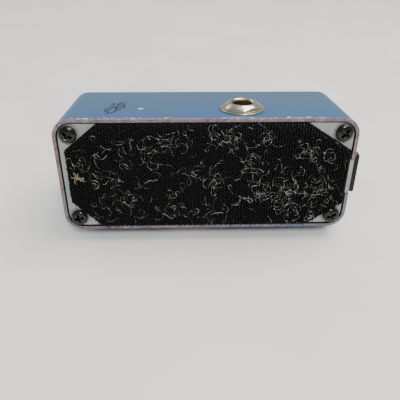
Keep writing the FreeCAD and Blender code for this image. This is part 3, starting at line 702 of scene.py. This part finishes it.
def makeHookField():
    # the hook is set out in rows by two arrays, then the ones off the tape are taken away
    hook = makeOneHook()
    perHook = len(hook.data.vertices)
    startX = padLow.x + hookTape["edgeGap"]
    startZ = padLow.z + hookTape["edgeGap"]
    countX = int((padHigh.x - padLow.x - 2 * hookTape["edgeGap"]) / hookTape["pitchX"]) + 1
    countZ = int((padHigh.z - padLow.z - 2 * hookTape["edgeGap"]) / hookTape["pitchZ"]) + 1
    hook.data.transform(Matrix.Translation((startX, 0, startZ)))
    for count, way in ((countX, (hookTape["pitchX"], 0, 0)), (countZ, (0, 0, hookTape["pitchZ"]))):
        applied(hook, "ARRAY", count=count, use_relative_offset=False, use_constant_offset=True,
                constant_offset_displace=way)
    rng = random.Random(hookTape["seed"])
    vertices = hook.data.vertices
    drop = set()
    root = padHigh.y - hookTape["backing"]
    for i in range(countX * countZ):
        row, column = divmod(i, countX)
        x = startX + column * hookTape["pitchX"]
        oldZ = startZ + row * hookTape["pitchZ"]
        z = startZ + (row + 0.5 * (column % 2)) * hookTape["pitchZ"]
        outside = not insideTape(x, z, hookTape["edgeClear"]) or screwNear(x, z)
        if outside or rng.random() < hookTape["missing"]:
            drop.add(i)
            continue
        tall = rng.uniform(hookTape["shortest"], 1.0)
        leanX = rng.gauss(0, hookTape["lean"])
        leanZ = rng.gauss(0, hookTape["lean"])
        way = 1 if (column // 2) % 2 else -1    # hooks face either way, two columns at a time
        for k in range(i * perHook, (i + 1) * perHook):
            co = vertices[k].co
            up = (root - co.y) * tall
            co.y = root - up
            co.x = co.x + leanX * up
            co.z = z + way * (co.z - oldZ) + leanZ * up
    selectFaces(hook, lambda face: face.vertices[0] // perHook in drop)
    bpy.ops.mesh.delete(type="VERT")
    doneEditing()
    # the field is one piece for each half, to keep each piece light
    cut = (padLow.x + padHigh.x) / 2
    left = copied(hook, "hooksLeft")
    for piece, keepLeft, name in ((left, True, "hooksLeft"), (hook, False, "hooksRight")):
        across = [v.co.x for v in piece.data.vertices]
        selectFaces(piece, lambda face: (across[face.vertices[0] // perHook * perHook] < cut) != keepLeft)
        bpy.ops.mesh.delete(type="VERT")
        bpy.ops.mesh.select_all(action="SELECT")
        bpy.ops.mesh.normals_make_consistent(inside=False)
        doneEditing()
        piece.name = name
        finished(piece, "case", hookNylon)
        smoothed(piece, 50)


lint = {
    "radius": 0.04 * mm,
    "seed": 21,
    "thickShare": 0.33,
    "lengths": (2.0, 8.5),      # millimetres
    "fewest": 5,                # points that a fibre needs
    "tuft": (-40.3, 0.3),       # cream tuft, and the stray fibres to its right
    "strays": (-18.6, -0.8),
    # middle and spread of each tangle along and up the tape, and how many fibres
    "tangles": [(-24, 9, 7, 4, 16), (-11, 13, 8, 3, 20), (6, 14, 6, 3, 24), (17, 12, 6, 4, 12),
                (35, 8, 7, 6, 34), (-38, 4, 4, 7, 16), (-31, 1, 6, 4, 12), (-18, 6, 5, 4, 10),
                (0, 1, 7, 5, 22), (12, 5, 6, 6, 16), (21, -5, 9, 5, 44), (33, -3, 8, 7, 40),
                (28, -12, 9, 4, 32), (2, -12, 8, 4, 22), (-12, -10, 8, 5, 14), (-25, -10, 9, 5, 22),
                (0, 0, 60, 22, 60)],
}


def fibrePath(rng, x, z, length, y):
    # a loosely curling walk over the hook tips
    heading = rng.uniform(0, 2 * math.pi)
    turn = rng.gauss(0, 0.4)
    step = rng.uniform(0.35, 0.6) * mm
    wave = rng.uniform(0, 6)
    points = []
    for i in range(max(lint["fewest"], int(length / step))):
        points.append(Vector((x, y + (0.22 * math.sin(wave + 0.7 * i) + rng.uniform(-0.06, 0.06)) * mm, z)))
        turn = 0.84 * turn + rng.gauss(0, 0.25)
        heading += turn
        x += math.cos(heading) * step
        z += math.sin(heading) * step
        if not insideTape(x, z, -0.3 * mm):
            break
    return points


def makeFibres(name, paths, radius, material):
    piece = smoothed(tube(name, paths, radius, 0, steps=3), 60)
    finished(piece, "case", material)


def makeLintPieces():
    rng = random.Random(lint["seed"])
    thick, thin = [], []
    for cx, cz, sx, sz, count in lint["tangles"]:
        for i in range(count):
            x = rng.gauss(cx, sx * 0.6) * mm
            z = rng.gauss(cz, sz * 0.6) * mm
            if not insideTape(x, z, 0.5 * mm):
                continue
            y = padLow.y + rng.uniform(0.0, 0.45) * mm
            points = fibrePath(rng, x, z, rng.uniform(*lint["lengths"]) * mm, y)
            if len(points) < lint["fewest"]:
                continue
            (thick if rng.random() < lint["thickShare"] else thin).append(points)
    makeFibres("lintThick", thick, lint["radius"] * 1.35, lintPale)
    makeFibres("lintThin", thin, lint["radius"] * 0.8, lintPale)
    tuft = []
    for i in range(20):
        x = rng.gauss(lint["tuft"][0], 0.42) * mm
        z = rng.gauss(lint["tuft"][1], 0.32) * mm
        length = rng.uniform(1.1, 1.6) * mm
        tuft.append(fibrePath(rng, x, z, length, padLow.y + rng.uniform(-0.1, 0.4) * mm))
    strayX, strayZ = lint["strays"]
    for i in range(3):
        x = (strayX + 0.9 * i) * mm
        tuft.append(fibrePath(rng, x, rng.gauss(strayZ, 0.1) * mm, 2.6 * mm, padLow.y))
    tuft = [points for points in tuft if len(points) >= lint["fewest"]]
    makeFibres("lintTuft", tuft, lint["radius"] * 1.1, lintCream)


print("hook tape")
makeTapeBackingPiece()
makeHookField()
print("lint")
makeLintPieces()


# ---- jack nuts ----

jackNut = {
    "flats": 10.7 * mm,
    "flange": 7.1 * mm,
    "flangeHeight": 0.5 * mm,
    "topRadius": 4.3 * mm,
    "height": 2.3 * mm,
    "hole": 3.5 * mm,
    "thread": 4.5 * mm,
    "lip": 0.75 * mm,           # height of the mouth over the thread
}


def makeJackNut(name, node):
    low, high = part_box(node)
    side = 1 if high.z > 0 else -1
    r, top, h = jackNut["flange"], jackNut["topRadius"], jackNut["height"]
    hole, thread = jackNut["hole"], jackNut["thread"]
    inside = h - jackNut["lip"]
    profile = [(hole, inside), (hole, h - 0.28 * mm), (hole + 0.3 * mm, h), (top - 0.1 * mm, h),
               (top + 0.18 * mm, h - 0.12 * mm), (r - 0.62 * mm, 0.62 * mm), (r - 0.1 * mm, 0.55 * mm),
               (r, 0.4 * mm), (r, 0.05 * mm), (r - 0.05 * mm, 0), (thread, 0), (thread, inside),
               (hole, inside)]
    nut = spun(name, profile, origin, upAxis, 96)
    # six flats are milled down to the flange
    size = (4 * mm, 12 * mm, 3 * mm)
    place = (jackNut["flats"] / 2 + size[0] / 2, 0, size[2] / 2 + jackNut["flangeHeight"])
    for i in range(6):
        cutter = block("flat", size, place)
        cutter.data.transform(Matrix.Rotation(math.radians(60 * i), 4, "Z"))
        combined(nut, cutter)
    tidyMesh(nut, 0.01 * mm)
    softened(nut, 0.09 * mm, 3, 22)
    smoothed(nut, 40)
    middle = middleOf(node)
    seat = low.z if side > 0 else high.z
    place = Matrix.Translation((middle.x, middle.y, seat))
    if side < 0:
        place = place @ Matrix.Rotation(math.pi, 4, "X")
    nut.data.transform(place)
    finished(nut, "case", nickel, [node])


print("jack nuts")
makeJackNut("inputNut", "input_jack_nut")
makeJackNut("outputNut", "output_jack_nut")


# ---- power socket ----

powerSocket = {
    "round": 0.9 * mm,
    "ringRadius": 4.3 * mm,
    "ringHeight": 0.3 * mm,
    "bore": 3.1 * mm,
    "boreDepth": 10.5 * mm,
    "faceInset": 0.55 * mm,
    "faceRise": 0.16 * mm,
    "faceShrink": 0.97,
    "ringFoot": 0.6 * mm,
    "rearGap": 3.2 * mm,            # the body behind the wall is this much lower than the flange
    "rearUp": 0.8 * mm,
}


def makePowerSocket():
    low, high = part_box("power_socket_housing")
    pin = middleOf("power_socket_pin")
    middle, tall = (low + high) / 2, high - low
    wall = caseHigh.x
    front = high.x - powerSocket["ringHeight"]
    body = block("powerSocketBody", (front - wall, tall.y, tall.z), ((wall + front) / 2, middle.y, middle.z))
    # the four long corners are rounded, and the front face steps in to a low ring
    selectFaces(body, lambda face: face.normal.x > 0.9)
    bpy.ops.mesh.inset(thickness=powerSocket["faceInset"], depth=0)
    bpy.ops.mesh.extrude_region_move(TRANSFORM_OT_translate={"value": (powerSocket["faceRise"], 0, 0)})
    bpy.ops.transform.resize(value=(1, powerSocket["faceShrink"], powerSocket["faceShrink"]))
    doneEditing()
    pick(body)
    for edge in body.data.edges:
        a, b = (body.data.vertices[i].co for i in edge.vertices)
        edge.select = False
        if abs(a.x - b.x) > 0.8 * mm and abs(a.y - b.y) < 1e-6 and abs(a.z - b.z) < 1e-6:
            edge.select = True
    bpy.ops.object.mode_set(mode="EDIT")
    bpy.ops.mesh.select_mode(type="EDGE")
    bpy.ops.mesh.bevel(offset=powerSocket["round"], segments=5)
    doneEditing()
    hole, edge = powerSocket["bore"], powerSocket["ringRadius"]
    foot, step, rise = -powerSocket["ringFoot"], 0.25 * mm, powerSocket["ringHeight"]
    profile = [(hole, foot), (hole, 0.1 * mm), (hole + step, rise), (edge - step, rise), (edge, 0.1 * mm),
               (edge, foot), (hole, foot)]
    ring = spun("powerSocketRing", profile, Vector((front, pin.y, pin.z)), Vector((1, 0, 0)), 72)
    size = (wall - low.x + 0.2 * mm, tall.y - 1.62 * mm, tall.z - powerSocket["rearGap"])
    place = ((wall + low.x) / 2, middle.y + powerSocket["rearUp"], middle.z)
    combined(body, block("powerSocketRear", size, place), "UNION")
    combined(body, drill(hole + 0.02 * mm, powerSocket["boreDepth"] * 2, (high.x, pin.y, pin.z),
                         (0, math.radians(90), 0), 72))
    softened(body, 0.12 * mm, 2, 35)
    socket = smoothed(joined("powerSocket", [body, ring]), 35)
    finished(socket, "case", blackPlastic, ["power_socket_housing"])


print("power socket")
makePowerSocket()


# ---- knobs ----

knobStyle = {
    "gripStart": 2.3 * mm,
    "gripRows": 5,
    "fluteDepth": 0.42 * mm,
    "pointerWidth": 0.7 * mm,
}
largeKnob = {"radius": 6.8 * mm, "inside": 5.5 * mm, "deep": 1.7 * mm, "flutes": 18}
smallKnob = {"radius": 4.4 * mm, "inside": 3.1 * mm, "deep": 0.5 * mm, "flutes": 14}
knobs = {"gain": largeKnob, "volume": largeKnob, "bass": smallKnob, "middle": smallKnob, "treble": smallKnob}


def makeKnob(control, kind):
    node = control + "_knob"
    low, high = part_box(node)
    tall = high.y - low.y
    middle = middleOf(control + "_shaft")
    r, inner, deep, flutes = kind["radius"], kind["inside"], kind["deep"], kind["flutes"]
    grip = knobStyle["gripStart"]
    rows = knobStyle["gripRows"]
    profile = [(0, deep), (inner, deep), (inner, 0), (r - 0.1 * mm, 0), (r, 0.12 * mm), (r, 1.45 * mm),
               (r - 0.14 * mm, 1.62 * mm), (r - 0.5 * mm, 2.1 * mm), (r - 0.54 * mm, grip)]
    for i in range(1, rows + 1):
        s = i / rows
        profile.append((r - 0.54 * mm - 0.3 * mm * s, grip + s * (tall - 0.9 * mm - grip)))
    profile += [(r - 0.98 * mm, tall - 0.42 * mm), (r - 1.22 * mm, tall - 0.12 * mm), (r - 1.55 * mm, tall),
                (r - 1.95 * mm, tall - 0.02 * mm), (r - 2.1 * mm, tall - 0.22 * mm), (0, tall - 0.3 * mm)]
    knob = spun(control + "Knob", profile, origin, upAxis, flutes * 8)
    # finger flutes: every few steps round, the wall is drawn inwards
    for v in knob.data.vertices:
        radius = math.hypot(v.co.x, v.co.y)
        if v.co.z > grip + 0.05 * mm and radius > r - 1.4 * mm:
            wave = max(0.0, math.cos(flutes * math.atan2(v.co.y, v.co.x))) ** 1.5
            pull = 1 - knobStyle["fluteDepth"] * wave / radius
            v.co.x *= pull
            v.co.y *= pull
    tidyMesh(knob, 0.005 * mm)
    smoothed(knob, 38)
    size = (r - 2.3 * mm, knobStyle["pointerWidth"], 0.34 * mm)
    pointer = block(control + "Pointer", size, ((r - 1.3 * mm) / 2 + 0.3 * mm, 0, tall - 0.16 * mm))
    smoothed(softened(pointer, 0.1 * mm, 3))
    # the pointer stands where the control rests, between its two ends
    place = (Matrix.Translation((middle.x, low.y, middle.z))
             @ Matrix.Rotation(math.radians(sum(joint(control + "_turn")["range_deg"]) / 2), 4, "Y")
             @ Matrix.Rotation(math.radians(-90), 4, "X"))
    knob.data.transform(place)
    pointer.data.transform(place)
    body = control + "_control"
    finished(knob, body, knobPlastic, [node])
    finished(pointer, body, whiteInk)


print("knobs")
for control, kind in knobs.items():
    makeKnob(control, kind)


# ---- printing on the case ----

inkStyle = {"lift": 0.012 * mm, "flatten": 0.06, "line": 0.32 * mm, "fine": 0.26 * mm}


wallLean = 0.5 * mm             # how far the walls lean in by the control face


def wallZ(y):
    return caseHigh.z - wallLean * (y - rimY) / (faceY - rimY)


def inkLine(name, points, width, flat, closed=False, smooth=True):
    # a printed line: a curve through the points, made a mesh and pressed flat by flat(co)
    piece = tube(name, [points], width / 2, 1, "NURBS" if smooth else "POLY", 3, 6, closed)
    for v in piece.data.vertices:
        v.co = flat(v.co)
    tidyMesh(piece, 0.001 * mm)
    return smoothed(piece, 50)


def onFace(co):
    return Vector((co.x, faceY + inkStyle["lift"] + inkStyle["flatten"] * (co.y - faceY), co.z))


def onUpperWall(co):
    surface = wallZ(co.y)
    return Vector((co.x, co.y, surface + inkStyle["lift"] + inkStyle["flatten"] * (co.z - surface)))


sideMark = {
    "middle": (-28.7 * mm, 12.6 * mm),
    "size": (1.05 * mm, 2.1 * mm),      # along and across the wall
    "strokes": [
        (0.58 * mm, [(-2.6, -2.2), (-2.9, -0.6), (-1.4, 0.9), (0.2, 0.2), (0.4, -1.6), (-0.8, -2.9),
                     (-2.0, -2.2), (-1.4, -0.4), (0.6, 1.2), (1.6, 2.6), (0.8, 3.0), (0.2, 1.4),
                     (0.9, -0.8), (1.6, 0.6), (2.2, 2.2), (2.7, 1.0), (2.4, -0.2)]),
        (0.5 * mm, [(-2.2, -3.2), (-0.6, -2.4), (1.0, -1.2), (2.6, 0.0)]),
        (0.5 * mm, [(-2.0, 1.2), (-1.0, 2.4)]),
        (0.5 * mm, [(-1.2, 1.0), (-0.4, 2.2)]),
        (0.5 * mm, [(1.9, 3.2), (2.9, 2.4)]),
    ],
}


def makeSideMark():
    # a hand-drawn flourish: a tilted loop with a wavy tail
    lines = []
    for i, (width, path) in enumerate(sideMark["strokes"]):
        points = []
        for a, b in path:
            x, y = (m + s * c for m, s, c in zip(sideMark["middle"], sideMark["size"], (a, b)))
            points.append((x, y, wallZ(y)))
        lines.append(inkLine("sideMark%d" % i, points, width, onUpperWall))
    finished(joined("sideMark", lines), "case", inkMark)


facePrint = {
    "marks": 11,
    "marksFrom": -150,          # degrees, to the same on the other side
    "borderInset": 2.3 * mm,
    "borderCorner": 3.2 * mm,
    "arrow": (10.6 * mm, 14.6 * mm),
    "arrowHead": (0.9 * mm, 1.2 * mm),
    "rays": (4.0 * mm, 5.2 * mm),
    "ring": 3.3 * mm,
    "waveDown": 6.4 * mm,
}


def polar(centre, radius, degrees):
    # a point of the control face at that distance and angle from the centre
    a = math.radians(degrees)
    return (centre[0] + radius * math.cos(a), faceY, centre[1] + radius * math.sin(a))


def arc(centre, radius, start, end, steps):
    return [polar(centre, radius, start + (end - start) * i / steps) for i in range(steps + 1)]


def makeFacePrint():
    # dial marks round each knob, a border, and plain signs for the jacks, lamp and button
    lines = []

    def draw(name, points, width, closed=False, smooth=False):
        lines.append(inkLine(name, points, width, onFace, closed, smooth))

    fine, line = inkStyle["fine"], inkStyle["line"]
    for control, kind in knobs.items():
        middle = middleOf(control + "_shaft")
        for i in range(facePrint["marks"]):
            reach = (0.3 * mm, (1.15 if i % 5 == 0 else 0.8) * mm)
            draw("tick", [polar((middle.x, middle.z), kind["radius"] + q, facePrint["marksFrom"] + 30 * i)
                          for q in reach], fine)
    corner = facePrint["borderCorner"]
    halfX, halfZ = (side - wallLean - facePrint["borderInset"] - corner for side in (caseHigh.x, caseHigh.z))
    border = []
    for i, (sx, sz) in enumerate(((1, 1), (-1, 1), (-1, -1), (1, -1))):
        border += arc((sx * halfX, sz * halfZ), corner, 90 * i, 90 * i + 90, 8)
    draw("border", border, line, True)
    for node, side in (("input_jack_nut", 1), ("output_jack_nut", -1)):
        # an arrow towards or away from each jack
        x = middleOf(node).x
        near, far = (side * q for q in facePrint["arrow"])
        tip, tail = (near, far) if side > 0 else (far, near)
        wide, long = facePrint["arrowHead"]
        back = tip - math.copysign(long, tip - tail)
        draw("arrowShaft", [(x, faceY, tail), (x, faceY, tip)], line)
        draw("arrowHead", [(x - wide, faceY, back), (x, faceY, tip), (x + wide, faceY, back)], line)
    lamp = middleOf("lamp_bezel")
    for a in range(20, 161, 35):
        draw("ray", [polar((lamp.x, lamp.z), q, a) for q in facePrint["rays"]], fine)
    button = middleOf("button_cap")
    draw("buttonRing", arc((button.x, button.z), facePrint["ring"], 0, 345, 28), fine, True)
    wave = [(button.x + (i - 8) * 0.42 * mm, faceY, button.z - facePrint["waveDown"] + mm * math.sin(i * 0.8))
            for i in range(17)]
    draw("buttonWave", wave, line, smooth=True)
    finished(joined("facePrint", lines), "case", whiteInk)


print("printing")
makeSideMark()
makeFacePrint()


# ---- foot switch and lamp ----

footSwitch = {
    "thread": 6.0 * mm,
    "bore": 4.05 * mm,
    "pitch": 0.75 * mm,
    "threadDepth": 0.22 * mm,
    "cap": 5.2 * mm,
    "capTall": 7.0 * mm,
    "capEdge": 1.1 * mm,
    "capDome": 0.28 * mm,
    "stem": 4.0 * mm,
    "collar": 4.5 * mm,
}


def makeFootswitch():
    low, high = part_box("footswitch_bushing")
    centre = middleOf("footswitch_bushing")
    yAxis = Vector((0, 1, 0))
    r, bore = footSwitch["thread"], footSwitch["bore"]
    top = high.y - low.y
    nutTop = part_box("footswitch_nut")[1].y - low.y
    profile = [(bore, top - 4 * mm), (bore, top - 0.3 * mm), (bore + 0.3 * mm, top), (r - 0.75 * mm, top),
               (r - 0.35 * mm, top - 0.15 * mm)]
    h = top - 0.45 * mm
    while h > nutTop - 1.2 * mm:
        profile += [(r, h), (r - footSwitch["threadDepth"], h - footSwitch["pitch"] / 2)]
        h -= footSwitch["pitch"]
    profile += [(r - 0.2 * mm, h), (r - 0.2 * mm, 1.0 * mm), (bore, 1.0 * mm), (bore, top - 4 * mm)]
    bushing = smoothed(spun("footswitchThread", profile, Vector((centre.x, low.y, centre.z)), yAxis, 88), 32)
    finished(bushing, "case", nickel, ["footswitch_bushing"])

    low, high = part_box("footswitch_plunger")
    tall = high.y - low.y
    r, stem, collar, edge = (footSwitch[key] for key in ("cap", "stem", "collar", "capEdge"))
    cap = tall - footSwitch["capTall"]
    rim = tall - footSwitch["capDome"]
    profile = [(0, 0), (collar, 0), (collar, 2.3 * mm), (stem, 2.35 * mm), (stem, cap - 0.02 * mm),
               (r - 0.5 * mm, cap), (r - 0.12 * mm, cap + 0.12 * mm), (r, cap + 0.45 * mm)]
    for i in range(9):
        a = math.radians(90 * i / 8)
        profile.append((r - edge + edge * math.cos(a), rim - edge + edge * math.sin(a)))
    profile += [((r - edge) * q, rim + 0.27 * mm * (1 - q * q)) for q in (0.85, 0.6, 0.35, 0.15, 0)]
    plunger = smoothed(spun("footswitchCap", profile, Vector((centre.x, low.y, centre.z)), yAxis, 88), 32)
    finished(plunger, "footswitch_button", nickel, ["footswitch_plunger"])


print("foot switch")
makeFootswitch()


# ---- return springs ----

springStyle = {"flatTurns": 0.75, "stepsPerTurn": 20}


def makeSpring(name, node, press, wire, turns):
    # a coil whose end turns lie flat
    low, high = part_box(node)
    middle = middleOf(node)
    radius = (high.x - low.x) / 2 - wire
    tall = high.y - low.y - 2 * wire
    flat = springStyle["flatTurns"]
    count = int(turns * springStyle["stepsPerTurn"])
    coil = []
    for i in range(count + 1):
        turn = turns * i / count
        rise = min(1.0, max(0.0, (turn - flat) / (turns - 2 * flat)))
        a = 2 * math.pi * turn
        coil.append((middle.x + radius * math.cos(a), low.y + wire + tall * rise,
                     middle.z + radius * math.sin(a)))
    piece = smoothed(tube(name, [coil], wire, 3, "POLY"), 50)
    finished(piece, "case", springSteel, [node])
    travel = joint(press)["range_m"][1]
    1 - travel / (high.y - low.y)
    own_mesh(piece)


print("springs")
makeSpring("footswitchSpring", "footswitch_spring", "footswitch_press", 0.35 * mm, 6.5)
makeSpring("buttonSpring", "button_spring", "cabinet_press", 0.2 * mm, 4.5)


# ---- floor, light and camera ----

stageSet = {
    "floorColour": rgb(226, 224, 220),
    "worldLight": 0.5,
    "lean": 9.4,                    # degrees: the unit lies on its lower nut and its far lower edge
    "sky": (0.8, 70, (-0.25, 0.15, -1)),        # power, spread in degrees, way it shines
    # name, place, aim, size, power, colour
    "lights": [
        ("keyLight", (0.2, 0.02, 0.5), (0, 0.02, 0), 0.32, 3.2, (1.0, 0.98, 0.95)),
        ("frontLight", (0.06, -0.42, 0.4), (0, 0, 0), 0.16, 2.3, (1.0, 0.99, 0.97)),
        ("rearLight", (-0.45, 0.35, 0.35), (0, 0.02, 0), 0.35, 1.2, (0.96, 0.98, 1.0)),
    ],
}


def makeFloor():
    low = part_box("output_jack_nut")[0]
    contact = Vector((0, middleOf("output_jack_nut").y + jackNut["topRadius"], low.z))
    deselectAll()
    bpy.ops.mesh.primitive_plane_add(size=3.0)
    floor = named("floor")
    lean = Matrix.Rotation(math.radians(stageSet["lean"]), 4, "X")
    floor.data.transform(Matrix.Translation(contact) @ lean)
    f = Finish("paleFloor")
    cloud = f.noise(40.0, 4, 0.55)
    tone = f.mix(cloud.step(0.35, 0.7), rgb(218, 216, 212), stageSet["floorColour"])
    floor.data.materials.append(f.cover(tone, 0.6 + cloud * 0.1, f.bump(f.noise(6.0, 4), 0.12, 0.4)))


def addLamp(name, kind, power, way):
    light = bpy.data.lights.new(name, kind)
    light.energy = power
    lamp = bpy.data.objects.new(name, light)
    lamp.rotation_euler = Vector(way).to_track_quat("-Z", "Y").to_euler()
    bpy.context.scene.collection.objects.link(lamp)
    return lamp


def makeLights():
    # an even light out to the horizon, and three soft ones round the unit
    power, spread, way = stageSet["sky"]
    addLamp("skyLight", "SUN", power, way).data.angle = math.radians(spread)
    for name, place, aim, size, power, colour in stageSet["lights"]:
        lamp = addLamp(name, "AREA", power, Vector(aim) - Vector(place))
        lamp.location = place
        lamp.data.size = size
        lamp.data.color = colour


cameraSet = {
    "place": (-6.17 * mm, -125.97 * mm, 62.94 * mm),
    "down": 29.26,                  # degrees, as are the next two
    "right": 1.84,
    "roll": 0.30,
    "lens": 40.2,
    "clip": (0.005, 20),            # metres
}


def makeCamera():
    data = bpy.data.cameras.new("camera")
    data.lens = cameraSet["lens"]
    data.clip_start, data.clip_end = cameraSet["clip"]
    camera = bpy.data.objects.new("camera", data)
    turn = (Matrix.Rotation(math.radians(-cameraSet["right"]), 4, "Z")
            @ Matrix.Rotation(math.radians(90 - cameraSet["down"]), 4, "X")
            @ Matrix.Rotation(math.radians(cameraSet["roll"]), 4, "Z"))
    camera.matrix_world = Matrix.Translation(cameraSet["place"]) @ turn
    bpy.context.scene.collection.objects.link(camera)
    bpy.context.scene.camera = camera


def makeWorld():
    world = bpy.data.worlds.new("studio")
    world.use_nodes = True
    back = world.node_tree.nodes["Background"]
    back.inputs["Color"].default_value = (0.93, 0.95, 1.0, 1)
    back.inputs["Strength"].default_value = stageSet["worldLight"]
    bpy.context.scene.world = world


print("stage")
makeFloor()
makeLights()
makeWorld()
makeCamera()

print("done")
